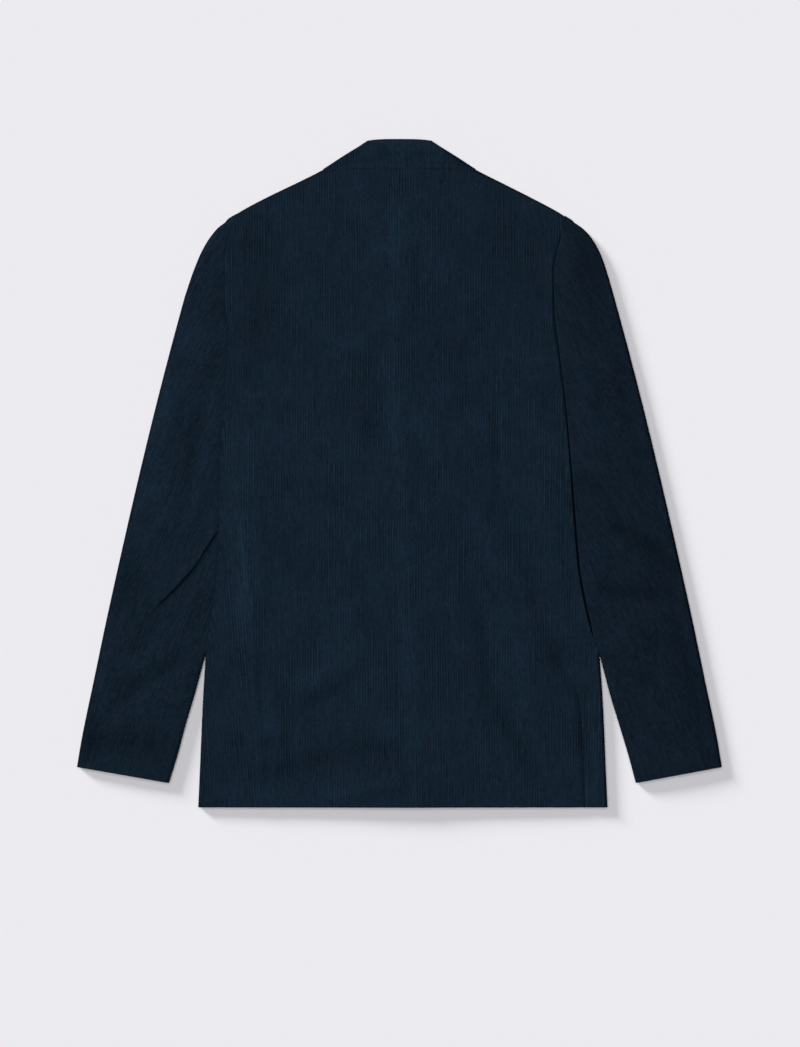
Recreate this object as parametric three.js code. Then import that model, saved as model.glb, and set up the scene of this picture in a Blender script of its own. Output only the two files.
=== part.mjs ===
// A corduroy blazer laid flat on a surface with its back up, sleeves straight down beside the body.
// Millimetres. +X is the wearer's right, +Y points to the collar, +Z up off the surface.
import * as THREE from 'three';

// Driving dimensions
const wall = 1.5; // cloth thickness
const seamGap = 0.3; // between neighbouring pieces
const layerStep = wall + seamGap; // from one cloth layer to the next one on it
const clothHeight = 6.9; // upper and lower cloth with the air between them
const edgeRadius = clothHeight / 2; // round fold at the edge of the body and the sleeves
const midHeight = clothHeight / 2;

const hemY = -377.7;
const shoulderPointY = 292;
const armpitY = 60;
const sideTopY = 56; // where the back's side seam runs into the armhole
const frontTopY = 20; // where the front's side seam runs into the armhole
const splitY = -207.6; // below it the sleeve stands away from the body
const cuffInnerY = -349.5;
const cuffOuterY = -331.4;
const capOuterY = 283.5;

const neckX = 82; // where neckline and shoulder seam meet
const collarTopY = 377.7;
const breakY = -20; // lowest point of the roll line
const gorgeY = 292; // upper end of the roll line
const gorgeX = 41;
const roundingX = [neckX - 6, neckX + 2]; // the shoulder's round edge begins between these
const overlapHalf = 18; // each front passes the middle by this much
const crossingY = 100; // above it the right roll line is clear of the left front
const rightLapelY = 112;
const notchX = 84;
const notchY = 275.4;
const lapelWidth = 88;
const lapelStart = 6; // width of the lapel at its lower end
const lapelPointY = 256;
const lapelFlare = 1.6; // how soon the lapel reaches its width
const centreSwell = 1.6; // the back lies higher over the overlapped fronts
const swellWidth = 62;
const swellTopY = 332;
const calmY = [300, 340]; // creases end between these, below the collar
const seamRidge = 0.5; // the pressed allowances of the centre seam
const seamRidgeWidth = 9;
const reliefFade = 14; // creases end this far from a piece's seams
const cuffFade = 40;
const buttonRadius = 10;
const buttonYs = { button_upper: -38, button_lower: -150 };

// Heights of the side edge at which every body piece and sleeve has a row of points
const lowerRows = [hemY, -350, -320, -290, -262, -235, splitY, -175, -143, -107, -80, -55, -32, -5,
  frontTopY, sideTopY, armpitY];
const upperRows = [85, 111, 138, 160, 182, 205, 225, 248, 270];
// Rows of the side body below these heights are level, above them they close up to its end
const lastPlainUpperY = frontTopY;
const lastPlainUnderY = -107;
const endGap = 0.5;
const looseSleeveRows = [-235, -265, -295, -325, cuffInnerY];

// Outlines as seen from above: each row is y, then the distance from the middle
const sleeveOuter = [
  [284, 196.6], [278, 204.5], [270.4, 212.2], [256.8, 221.8], [242, 228.9], [207, 240.7],
  [173, 250.2], [105, 268.2], [37.6, 285], [-30, 301], [-98, 316.5], [-166, 331.5],
  [-234, 345.7], [-301, 359.6],
  [cuffOuterY, 364.7]];
const centreSeam = [
  [348, 1], [148, -4.5], [92, -3.4], [15, 1.8], [-36, 6.8], [-138, 8.5], [-214, 13.6],
  [-291, 18.6], [hemY, 22]];
const rollLine = [[gorgeY, gorgeX], [breakY, -overlapHalf]];

// The jacket lies slightly turned, so its two sides differ
const sides = {
  left: {
    sign: -1,
    bodyEdge: [
      [293, 184], [241, 197.8], [189, 196.6], [154, 193], [111, 195.5], [49, 201], [-32.5, 203.4],
      [-66, 203.4], [-143, 210], [splitY, 219.2], [hemY, 226.6]],
    backSeam: [[armpitY, 196], [frontTopY, 196.6], [-26, 186.5], [-62, 176.3], [-113, 170.6],
      [-188, 164], [-240, 162.7], [-307, 158], [hemY, 155]],
    frontSeam: [[frontTopY, 141], [hemY, 188]],
    sleeveInner: [[splitY, 219.9], [-250.6, 231.7], [-284.5, 241.8], [-318.4, 250.9],
      [cuffInnerY, 260.5]],
  },
  right: {
    sign: 1,
    bodyEdge: [
      [293, 187], [271.5, 183], [225, 173.7], [179, 174.7], [138, 179.7], [82, 186.5],
      [10.5, 192.7], [-62, 197.8], [-107, 201.8], [-143, 208], [-183, 218], [splitY, 226.4],
      [hemY, 235]],
    backSeam: [[armpitY, 183.5], [-30, 187.6], [-98, 192], [-188, 196.6], [-230, 200],
      [-307, 208], [hemY, 210]],
    frontSeam: [[frontTopY, 129], [hemY, 150]],
    sleeveInner: [[splitY, 227.1], [-250.6, 238.4], [-284.5, 248.6], [-318.4, 258.8],
      [cuffInnerY, 267.2]],
  },
};

// Shoulder line: distance from the middle, then y
const shoulderLine = [[neckX, 341.5], [90, 340.3], [100, 335.8], [113.5, 329.2], [149.7, 311.1],
  [175, 297.6], [184, shoulderPointY]];
const backNeckline = [[0, 349], [60, 347.5], [76, 343.5], [neckX, 341.5]];
const frontNeckline = [[gorgeX, gorgeY], [neckX, 341.5]];

// Half-width up to which a front is lifted by the lapel, the collar or the buttons under it
const liftSlope = 36;
const overLeftHalf = 26; // the right front lies on the left one up to here
const overLeftFade = 20;
const liftReach = [[hemY, 30], [-60, 30], [breakY, 38], [100, 92], [200, 116], [lapelPointY, 134],
  [gorgeY, 120], [342, 118]];

// Creases of the upper side: from x1, y1 to x2, y2, bowed sideways, with half-width and height
// (a trough is negative). The zone says which pieces have it.
const creases = [
  { zone: 'body', x1: -181, y1: -190, x2: -207, y2: -277, bow: -4, width: 9, height: -1.8 },
  { zone: 'body', x1: -198, y1: -125, x2: -215, y2: -215, bow: 2, width: 8, height: -1.4 },
  { zone: 'body', x1: -150, y1: -256, x2: -60, y2: -220, bow: 3, width: 13, height: -1.3 },
  { zone: 'body', x1: -125, y1: -205, x2: -122, y2: -325, bow: 0, width: 11, height: -1.2 },
  { zone: 'body', x1: -185, y1: -340, x2: -15, y2: -316, bow: 5, width: 15, height: -2 },
  { zone: 'body', x1: -190, y1: -362, x2: -10, y2: -346, bow: 0, width: 14, height: 1.2 },
  { zone: 'body', x1: -160, y1: -66, x2: -105, y2: -46, bow: 3, width: 10, height: -1.2 },
  { zone: 'body', x1: 80, y1: -140, x2: 120, y2: -320, bow: -9, width: 12, height: -1.8 },
  { zone: 'body', x1: 104, y1: -150, x2: 145, y2: -320, bow: -8, width: 14, height: 1.3 },
  { zone: 'body', x1: 105, y1: 95, x2: 109, y2: 0, bow: 0, width: 11, height: -1.2 },
  { zone: 'body', x1: 132, y1: -92, x2: 206, y2: -260, bow: 10, width: 11, height: -2.2 },
  { zone: 'body', x1: -29, y1: 130, x2: -29, y2: 50, bow: 0, width: 10, height: -0.9 },
  { zone: 'body', x1: 23, y1: 260, x2: 22, y2: 110, bow: 2, width: 10, height: -1 },
  { zone: 'body', x1: -132, y1: 215, x2: -128, y2: 60, bow: 3, width: 22, height: 1.6 },
  { zone: 'body', x1: 120, y1: 250, x2: 70, y2: 60, bow: 8, width: 30, height: 1.2 },
  { zone: 'left', x1: -200, y1: -60, x2: -285, y2: -160, bow: -5, width: 7, height: -2.6 },
  { zone: 'left', x1: -214, y1: -50, x2: -296, y2: -140, bow: -5, width: 10, height: 2 },
  { zone: 'left', x1: -204, y1: 140, x2: -252, y2: -62, bow: 4, width: 10, height: -2 },
  { zone: 'left', x1: -228, y1: 130, x2: -284, y2: -10, bow: 5, width: 13, height: 1.5 },
  { zone: 'left', x1: -236, y1: -200, x2: -320, y2: -262, bow: 2, width: 12, height: -1.8 },
  { zone: 'left', x1: -350, y1: -284, x2: -262, y2: -316, bow: 4, width: 10, height: -1.2 },
  { zone: 'left', x1: -213, y1: 235, x2: -209, y2: 90, bow: -3, width: 9, height: -1.4 },
  { zone: 'right', x1: 200, y1: 14, x2: 306, y2: -104, bow: 12, width: 11, height: -2.4 },
  { zone: 'right', x1: 206, y1: -28, x2: 272, y2: -100, bow: 6, width: 10, height: 1.6 },
  { zone: 'right', x1: 218, y1: -133, x2: 316, y2: -126, bow: -6, width: 11, height: -1.8 },
  { zone: 'right', x1: 205, y1: 160, x2: 206, y2: 60, bow: -3, width: 12, height: 1.3 },
  { zone: 'right', x1: 252, y1: 110, x2: 264, y2: 40, bow: 2, width: 10, height: -1.3 },
  { zone: 'right', x1: 247, y1: -225, x2: 262, y2: -310, bow: 3, width: 9, height: -1.3 },
];

// Small mathematics
const lerp = THREE.MathUtils.lerp;
const smooth = (value, from, to) => THREE.MathUtils.smoothstep(value, from, to);
const bell = (value) => Math.exp(-(value ** 2));

// Straight interpolation in a two-column table whose first column may rise or fall
function readTable(table, key) {
  const rising = table[0][0] < table[table.length - 1][0];
  const rows = rising ? table : [...table].reverse();
  if (key <= rows[0][0]) return rows[0][1];
  for (let i = 1; i < rows.length; i += 1) {
    const [high, value] = rows[i];
    const [low, before] = rows[i - 1];
    if (key <= high) return lerp(before, value, (key - low) / (high - low));
  }
  return rows[rows.length - 1][1];
}

// Height of one crease: a bell across it, fading out towards both ends
function creaseHeight(crease, x, y) {
  const along = new THREE.Vector2(crease.x2 - crease.x1, crease.y2 - crease.y1);
  const length = along.length();
  along.divideScalar(length);
  const fromStart = new THREE.Vector2(x - crease.x1, y - crease.y1);
  const t = fromStart.dot(along) / length;
  if (t <= 0 || t >= 1) return 0;
  const arch = 4 * t * (1 - t);
  const across = fromStart.cross(along) - crease.bow * arch;
  return crease.height * Math.sqrt(arch) * bell(across / crease.width);
}

function relief(zone, x, y) {
  const drawn = creases.filter((crease) => crease.zone === zone);
  return drawn.reduce((sum, crease) => sum + creaseHeight(crease, x, y), 0);
}

function bodyRelief(x, y) {
  const middle = x - readTable(centreSeam, y);
  const overlap = centreSwell * bell(x / swellWidth) * (1 - smooth(y, crossingY, swellTopY));
  const ridge = seamRidge * bell(middle / seamRidgeWidth);
  return relief('body', x, y) * smooth(y, hemY, hemY + reliefFade) + overlap + ridge;
}

// A closed wall between an outer and an inner grid of points, turned so that its faces point out
function clothWall(name, material, rows, columns, outerAt, innerAt) {
  const positions = [];
  for (const pointAt of [outerAt, innerAt]) {
    for (let i = 0; i <= rows; i += 1) {
      for (let j = 0; j <= columns; j += 1) positions.push(...pointAt(i, j));
    }
  }
  const outer = (i, j) => i * (columns + 1) + j;
  const inner = (i, j) => (rows + 1) * (columns + 1) + outer(i, j);
  const faces = [];
  const quad = (a, b, c, d) => faces.push(a, b, c, a, c, d);
  for (let i = 0; i < rows; i += 1) {
    for (let j = 0; j < columns; j += 1) {
      quad(outer(i, j), outer(i, j + 1), outer(i + 1, j + 1), outer(i + 1, j));
      quad(inner(i, j), inner(i + 1, j), inner(i + 1, j + 1), inner(i, j + 1));
    }
    quad(outer(i, 0), outer(i + 1, 0), inner(i + 1, 0), inner(i, 0));
    quad(outer(i, columns), inner(i, columns), inner(i + 1, columns), outer(i + 1, columns));
  }
  for (let j = 0; j < columns; j += 1) {
    quad(outer(0, j), inner(0, j), inner(0, j + 1), outer(0, j + 1));
    quad(outer(rows, j), outer(rows, j + 1), inner(rows, j + 1), inner(rows, j));
  }
  if (signedVolume(positions, faces) < 0) faces.reverse();
  const geometry = new THREE.BufferGeometry();
  geometry.setAttribute('position', new THREE.Float32BufferAttribute(positions, 3));
  geometry.setIndex(faces);
  geometry.computeVertexNormals();
  const mesh = new THREE.Mesh(geometry, material);
  mesh.name = name;
  return mesh;
}

function signedVolume(positions, faces) {
  const corner = (index) => new THREE.Vector3().fromArray(positions, index * 3);
  let volume = 0;
  for (let i = 0; i < faces.length; i += 3) {
    volume += corner(faces[i]).dot(corner(faces[i + 1]).cross(corner(faces[i + 2])));
  }
  return volume;
}

// Angles on the quarter circle of a folded edge, from its outermost line to the flat cloth
const quarterTurn = [0, 30, 60, 90].map(THREE.MathUtils.degToRad);

function corduroy(shade) {
  return new THREE.MeshStandardMaterial({ color: shade, roughness: 0.95, metalness: 0 });
}

// Rows from the hem to the shoulder, the last four on the quarter circle of the shoulder edge
const rowYs = [...lowerRows, ...upperRows];
const bodyRowCount = rowYs.length + quarterTurn.length - 1;

function bodyRow(index, topY) {
  if (index < rowYs.length) {
    const share = (rowYs[index] - hemY) / (shoulderPointY - hemY);
    return { turned: false, y: hemY + share * (topY - hemY), angle: Math.PI / 2 };
  }
  const angle = quarterTurn[bodyRowCount - index];
  return { turned: true, y: topY - edgeRadius * (1 - Math.cos(angle)), angle };
}

// One point of a back or front panel. u runs from the middle to the side. The sheet lies at
// height low to low + wall, and turns towards mid-height at the shoulder edge.
function panelPoint(panel, rowIndex, u, face) {
  const xTop = lerp(panel.topInnerX, readTable(panel.side.bodyEdge, shoulderPointY), u);
  const topY = xTop < neckX ? readTable(panel.neckline, xTop) : readTable(shoulderLine, xTop);
  const round = smooth(xTop, ...roundingX);
  const { turned, y, angle } = bodyRow(rowIndex, topY);
  const innerTurn = topY - wall - (edgeRadius - wall) * (1 - Math.cos(angle));
  const faceY = turned && face === 'inner' ? lerp(y, innerTurn, round) : y;
  const x = lerp(panel.innerX(y), panel.outerX(y), u);
  const middle = midHeight + (panel.upper ? seamGap / 2 : -seamGap / 2);
  const drop = lerp(1, Math.sin(angle), round);
  return [x, faceY, middle + (panel.height(x, y, face) - middle) * drop];
}

// The back is a panel on each side of the centre seam
function backHalf(side, name) {
  const seamShift = side.sign * seamGap / 2;
  const outerX = (y) => {
    const seam = readTable(side.backSeam, Math.min(y, sideTopY)) - seamGap / 2;
    const edge = readTable(side.bodyEdge, y) - seamGap / 2;
    const share = THREE.MathUtils.clamp((y - sideTopY) / (armpitY - sideTopY), 0, 1);
    return side.sign * lerp(seam, edge, share);
  };
  const panel = {
    side,
    upper: true,
    topInnerX: 1,
    neckline: backNeckline,
    innerX: (y) => readTable(centreSeam, y) + seamShift,
    outerX,
    height: (x, y, face) => clothHeight - (face === 'inner' ? wall : 0) + bodyRelief(x, y)
      * smooth(Math.abs(outerX(y) - x), 0, reliefFade) * (1 - smooth(y, ...calmY)),
  };
  const columns = 16;
  const at = (face) => (i, j) => panelPoint(panel, i, j / columns, face);
  return clothWall(name, corduroy('#15212e'), bodyRowCount, columns, at('outer'), at('inner'));
}

// Height of the underside of a front: lifted over the lapel, the collar and the buttons
function frontLift(side, x, y) {
  const reach = readTable(liftReach, y);
  const own = layerStep * (1 - smooth(Math.abs(x), reach, reach + liftSlope));
  if (side.sign < 0) return own;
  const overLeft = 2 * layerStep * (1 - smooth(x, overLeftHalf, overLeftHalf + liftSlope))
    * (1 - smooth(y, crossingY, crossingY + overLeftFade));
  return Math.max(own, overLeft);
}

// A front from its roll line or overlapped edge to the side seam and the armhole
function frontHalf(side, name) {
  const foldInset = layerStep / 2 + wall / 2 + seamGap;
  const innerX = (y) => {
    const roll = side.sign * readTable(rollLine, y);
    const hasFold = side.sign < 0 ? y > breakY : y > crossingY;
    return roll + side.sign * (hasFold ? foldInset : 0);
  };
  const outerX = (y) => {
    const seam = readTable(side.frontSeam, y) - seamGap / 2;
    const edge = readTable(side.bodyEdge, Math.max(y, armpitY)) - seamGap / 2;
    const share = THREE.MathUtils.clamp((y - frontTopY) / (armpitY - frontTopY), 0, 1);
    return side.sign * lerp(seam, edge, share);
  };
  const panel = {
    side,
    upper: false,
    topInnerX: gorgeX,
    neckline: frontNeckline,
    innerX,
    outerX,
    height: (x, y, face) => frontLift(side, x, y) + (face === 'inner' ? wall : 0),
  };
  const columns = 10;
  const at = (face) => (i, j) => panelPoint(panel, i, j / columns, face);
  return clothWall(name, corduroy('#131e2a'), bodyRowCount, columns, at('outer'), at('inner'));
}

// The side body: a strip on the upper side, a half-round fold and a strip underneath.
// s below 0 is the upper strip, 0 to 1 the fold, above 1 the lower strip. Its upper end is the
// slanted bottom of the armhole, towards which the topmost rows close up.
function sidePoint(side, rowY, s, face) {
  const inset = face === 'inner' ? wall : 0;
  const under = s > 0.5;
  const seam = under ? side.frontSeam : side.backSeam;
  const seamTopY = under ? frontTopY : sideTopY;
  const lastPlainY = under ? lastPlainUnderY : lastPlainUpperY;
  const topWidth = readTable(side.bodyEdge, armpitY) - readTable(seam, seamTopY);
  const turn = Math.PI * (0.5 - THREE.MathUtils.clamp(s, 0, 1));
  const leaf = Math.max(-s, s - 1, 0);
  const foldShare = edgeRadius * (1 - Math.cos(turn)) / topWidth;
  const topY = lerp(armpitY, seamTopY, lerp(foldShare, 1, leaf)) - endGap;
  const closing = Math.max(0, rowY - lastPlainY) / (armpitY - lastPlainY);
  const y = rowY > lastPlainY ? lerp(lastPlainY, topY, closing) : rowY;
  const flatX = readTable(side.bodyEdge, rowY) - edgeRadius;
  const seamX = readTable(seam, y) + seamGap / 2;
  const foldX = flatX + (edgeRadius - inset) * Math.cos(turn);
  const x = leaf > 0 ? lerp(flatX, seamX, leaf) : foldX;
  const z = midHeight + (edgeRadius - inset) * Math.sin(turn);
  if (s >= 0) return [side.sign * x, y, z];
  const fade = smooth(flatX - x, 0, reliefFade) * smooth(x - seamX, -1, reliefFade / 2);
  return [side.sign * x, y, z + bodyRelief(side.sign * x, y) * fade];
}

function sideBody(side, name) {
  const stations = [-1, -0.66, -0.33, 0, 0.17, 0.33, 0.5, 0.67, 0.83, 1, 1.33, 1.66, 2];
  const at = (face) => (i, j) => sidePoint(side, lowerRows[i], stations[j], face);
  const rows = lowerRows.length - 1;
  return clothWall(name, corduroy('#16222f'), rows, stations.length - 1, at('outer'), at('inner'));
}

// A lapel: turned round at the roll line and lying flat on the surface under its front
function lapel(side, name, lowY) {
  const outerTurn = (layerStep + wall) / 2;
  const innerTurn = outerTurn - wall;
  const rows = 8;
  const rollGap = 0.4;
  const angles = [90, 45, 0, -45, -90].map(THREE.MathUtils.degToRad);
  const leafCells = 4;
  const at = (face) => (i, j) => {
    const rise = i / rows;
    const rollY = lerp(lowY, gorgeY, rise) - rollGap;
    const rollX = readTable(rollLine, rollY);
    const width = lerp(lapelStart, lapelWidth, 1 - (1 - rise) ** lapelFlare);
    const edgeY = lerp(rollY, lapelPointY, rise);
    const radius = face === 'outer' ? outerTurn : innerTurn;
    if (j < angles.length) {
      const x = rollX + outerTurn - radius * Math.cos(angles[j]);
      return [side.sign * x, rollY, outerTurn + radius * Math.sin(angles[j])];
    }
    const leaf = (j - angles.length + 1) / leafCells;
    const x = lerp(rollX + outerTurn, rollX + width, leaf);
    return [side.sign * x, lerp(rollY, edgeY, leaf), face === 'outer' ? 0 : wall];
  };
  const columns = angles.length - 1 + leafCells;
  return clothWall(name, corduroy('#131e2a'), rows, columns, at('outer'), at('inner'));
}

// Half of the collar fall as sections from its crease to its free edge, from the middle of the
// neck to the gorge. Level 1 lies on the back, level -1 on the surface under the front.
const collarFold = { creaseX: 40, creaseY: 374.4, edgeX: 86.5, edgeY: 343.4 };
const turnOpening = 3; // the turn has its full height from a third of the fall's depth on
const collarSections = [
  { creaseX: 0, creaseY: collarTopY, midX: 0, midY: 361, edgeX: 0, edgeY: 344.3, level: 1 },
  { creaseX: 14, creaseY: 377.6, midX: 17, midY: 361, edgeX: 22, edgeY: 344.2, level: 1 },
  { creaseX: 27, creaseY: 377, midX: 34, midY: 360.5, edgeX: 44, edgeY: 343.8, level: 1 },
  { creaseX: 35, creaseY: 375.8, midX: 50, midY: 359, edgeX: 66, edgeY: 343.2, level: 1 },
  { turn: 90 }, { turn: 54 }, { turn: 18 }, { turn: -18 }, { turn: -54 }, { turn: -90 },
  { creaseX: 42, creaseY: 345, midX: 68, midY: 331, edgeX: 94, edgeY: 318, level: -1 },
  { creaseX: 42, creaseY: 318, midX: 76, midY: 303, edgeX: 101, edgeY: 303, level: -1 },
  { creaseX: gorgeX, creaseY: gorgeY + 0.4, midX: notchX, midY: notchY, edgeX: 106, edgeY: 290,
    level: -1 },
];

// A point of a collar section; v is 0 at the crease and 1 at the free edge
function collarPoint(section, v, sign, face) {
  const fallHeight = clothHeight + layerStep;
  const radius = fallHeight / 2;
  const inset = face === 'inner' ? wall : 0;
  if (section.turn === undefined) {
    const half = v < 0.5;
    const t = half ? v * 2 : v * 2 - 1;
    const x = half ? lerp(section.creaseX, section.midX, t) : lerp(section.midX, section.edgeX, t);
    const y = half ? lerp(section.creaseY, section.midY, t) : lerp(section.midY, section.edgeY, t);
    return [sign * x, y, section.level > 0 ? fallHeight - inset : inset];
  }
  const angle = THREE.MathUtils.degToRad(section.turn);
  const line = new THREE.Vector2(collarFold.edgeX - collarFold.creaseX,
    collarFold.edgeY - collarFold.creaseY);
  const outward = new THREE.Vector2(-line.y, line.x).normalize();
  const reach = Math.min(radius, layerStep + (radius - layerStep) * v * turnOpening);
  const shift = (reach - inset) * Math.cos(angle) - reach;
  const x = collarFold.creaseX + line.x * v + outward.x * shift;
  const y = collarFold.creaseY + line.y * v + outward.y * shift;
  return [sign * x, y, radius + (radius - inset) * Math.sin(angle)];
}

function collarFall() {
  const half = collarSections.length - 1;
  const cells = 6;
  const at = (face) => (i, j) => {
    const section = collarSections[Math.abs(i - half)];
    return collarPoint(section, j / cells, Math.sign(i - half), face);
  };
  return clothWall('collar_fall', corduroy('#16222f'), half * 2, cells, at('outer'), at('inner'));
}

// The stand: a flat band from the back neckline to just under the crease
function collarStand() {
  const columns = 12;
  const rows = 3;
  const seamHalf = 74;
  const creaseHalf = 33;
  const at = (face) => (i, j) => {
    const u = j / columns * 2 - 1;
    const seamY = readTable(backNeckline, Math.abs(seamHalf * u)) + seamGap;
    const x = lerp(seamHalf, creaseHalf, i / rows) * u;
    const y = lerp(seamY, collarTopY - 2, i / rows);
    return [x, y, clothHeight - (face === 'inner' ? wall : 0)];
  };
  return clothWall('collar_stand', corduroy('#121c27'), rows, columns, at('outer'), at('inner'));
}

// Rows of a sleeve from the cap to the cuff, given at its inner edge
const sleeveRows = [shoulderPointY - 1, ...[...upperRows].reverse(), armpitY,
  ...lowerRows.slice(lowerRows.indexOf(splitY), -2).reverse(), ...looseSleeveRows];

// Each half is lower by half a seam gap, so that the whole keeps its height
const lowerShare = (edgeRadius - seamGap / 2) / edgeRadius;

// A point of a sleeve half. Columns run from the inner edge to the outer one, both rounded,
// except that the inner edge stays flat along the armhole.
function sleevePoint(side, rowY, column, interior, upper, face) {
  const last = quarterTurn.length * 2 + interior - 2;
  const share = (sleeveRows[0] - rowY) / (sleeveRows[0] - cuffInnerY);
  const outerY = lerp(capOuterY, cuffOuterY, share);
  const clear = rowY > armpitY ? seamGap / 2 : seamGap;
  const innerX = rowY > splitY - 1
    ? readTable(side.bodyEdge, rowY) + clear
    : readTable(side.sleeveInner, rowY);
  const inner = new THREE.Vector2(innerX, rowY);
  const outer = new THREE.Vector2(readTable(sleeveOuter, outerY), outerY);
  const width = inner.distanceTo(outer);
  const inset = face === 'inner' ? wall : 0;
  const nearInner = column < quarterTurn.length - 1;
  const nearOuter = column > last - quarterTurn.length + 1;
  let along;
  let lift = edgeRadius - inset;
  if (nearInner || nearOuter) {
    const angle = quarterTurn[nearInner ? column : last - column];
    const round = nearOuter || rowY < armpitY + 1 ? 1 : 0;
    const flatAlong = edgeRadius * (1 - Math.cos(angle));
    const roundAlong = inset + (edgeRadius - inset) * (1 - Math.cos(angle));
    const fromEdge = lerp(flatAlong, roundAlong, round);
    along = nearInner ? fromEdge : width - fromEdge;
    lift *= lerp(1, Math.sin(angle), round);
  } else {
    const step = (column - quarterTurn.length + 1) / interior;
    along = lerp(edgeRadius, width - edgeRadius, step);
  }
  const place = inner.lerp(outer, along / width);
  const x = side.sign * place.x;
  if (!upper) return [x, place.y, midHeight - seamGap / 2 - lift * lowerShare];
  const zone = side.sign < 0 ? 'left' : 'right';
  const edgeDistance = Math.min(along, width - along);
  const fade = smooth(edgeDistance, edgeRadius, edgeRadius + reliefFade)
    * smooth(place.y, cuffInnerY, cuffInnerY + cuffFade);
  const raised = relief(zone, x, place.y) * fade;
  return [x, place.y, midHeight + seamGap / 2 + lift * lowerShare + raised];
}

function sleeveHalf(side, name, upper) {
  const interior = upper ? 8 : 2;
  const columns = quarterTurn.length * 2 + interior - 2;
  const at = (face) => (i, j) => sleevePoint(side, sleeveRows[i], j, interior, upper, face);
  const shade = corduroy(upper ? '#14202c' : '#131e2a');
  return clothWall(name, shade, sleeveRows.length - 1, columns, at('outer'), at('inner'));
}

// A flat button under the left front, sewn to the right one
function button(name, y) {
  const geometry = new THREE.CylinderGeometry(buttonRadius, buttonRadius, wall, 24);
  geometry.rotateX(Math.PI / 2);
  const horn = new THREE.MeshStandardMaterial({ color: '#1a1c20', roughness: 0.45 });
  const mesh = new THREE.Mesh(geometry, horn);
  mesh.name = name;
  mesh.position.set(0, y, wall / 2);
  return mesh;
}

const blazer = new THREE.Group();
for (const [key, side] of Object.entries(sides)) {
  blazer.add(backHalf(side, `back_${key}`));
  blazer.add(sideBody(side, `side_${key}`));
  blazer.add(frontHalf(side, `front_${key}`));
  blazer.add(lapel(side, `lapel_${key}`, side.sign < 0 ? breakY : rightLapelY));
  blazer.add(sleeveHalf(side, `sleeve_upper_${key}`, true));
  blazer.add(sleeveHalf(side, `sleeve_under_${key}`, false));
}
blazer.add(collarFall());
blazer.add(collarStand());
for (const [name, y] of Object.entries(buttonYs)) blazer.add(button(name, y));

export default blazer;
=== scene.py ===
import math

import bpy
import numpy as np
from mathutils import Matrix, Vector


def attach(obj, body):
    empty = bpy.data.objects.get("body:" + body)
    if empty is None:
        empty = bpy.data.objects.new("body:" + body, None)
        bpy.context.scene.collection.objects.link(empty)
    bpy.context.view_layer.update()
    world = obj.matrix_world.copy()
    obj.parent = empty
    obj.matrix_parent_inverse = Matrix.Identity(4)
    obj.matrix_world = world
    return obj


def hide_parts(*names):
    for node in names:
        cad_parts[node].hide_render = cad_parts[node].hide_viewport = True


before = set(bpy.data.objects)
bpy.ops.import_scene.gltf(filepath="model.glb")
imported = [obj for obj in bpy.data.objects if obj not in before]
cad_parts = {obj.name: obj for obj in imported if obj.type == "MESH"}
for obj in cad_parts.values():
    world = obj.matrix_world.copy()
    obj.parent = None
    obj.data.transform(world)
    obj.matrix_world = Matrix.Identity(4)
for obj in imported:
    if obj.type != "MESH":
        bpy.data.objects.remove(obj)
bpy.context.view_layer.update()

# Sizes below are millimetres, as a pattern cutter writes them; meshes are made in metres
mm = 0.001

# The jacket lies on its front, so +X is the wearer's right and +Y points to the collar
cloth = dict(
    wall=1.5,  # thickness of the corduroy
    height=6.9,  # upper and lower cloth with the air between them
    seamGap=0.3,
    turnRoom=1.95,  # from a roll line to the front's edge, so that the lapel's turn has room
    hemY=-377.7, shoulderY=292.0, armpitY=60.0,
    sideTopY=56.0, frontTopY=20.0,  # where the side seams run into the armhole
    sideEaseY=-107.0,  # above it the side body's hidden part is drawn in to the armhole
    splitY=-207.6,  # below it the sleeves stand away from the body
)
cloth["radius"] = cloth["height"] / 2
cloth["step"] = cloth["wall"] + cloth["seamGap"]

# Lines on the body: y, then x
centreSeam = [
    (348, 1), (148, -4.5), (92, -3.4), (15, 1.8), (-36, 6.8), (-138, 8.5), (-214, 13.6), (-291, 18.6),
    (-377.7, 22)]
rollLine = [(292, 41), (-20, -18)]

# Lines across the body: distance from the middle, then y
shoulderLine = [
    (82, 343.8), (86, 342.9), (90, 340.8), (100, 335.8), (113.5, 329.2), (149.7, 311.4), (175, 298.2),
    (184, 292.9), (187.5, 290.6)]
backNeckline = [(0, 349), (60, 347.5), (76, 345), (82, 343.8)]
frontNeckline = [(41, 292), (82, 343.8)]
collarEdge = [(0, 344.3), (22, 344.2), (44, 343.8), (66, 343.2), (86.5, 343.4)]

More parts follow.
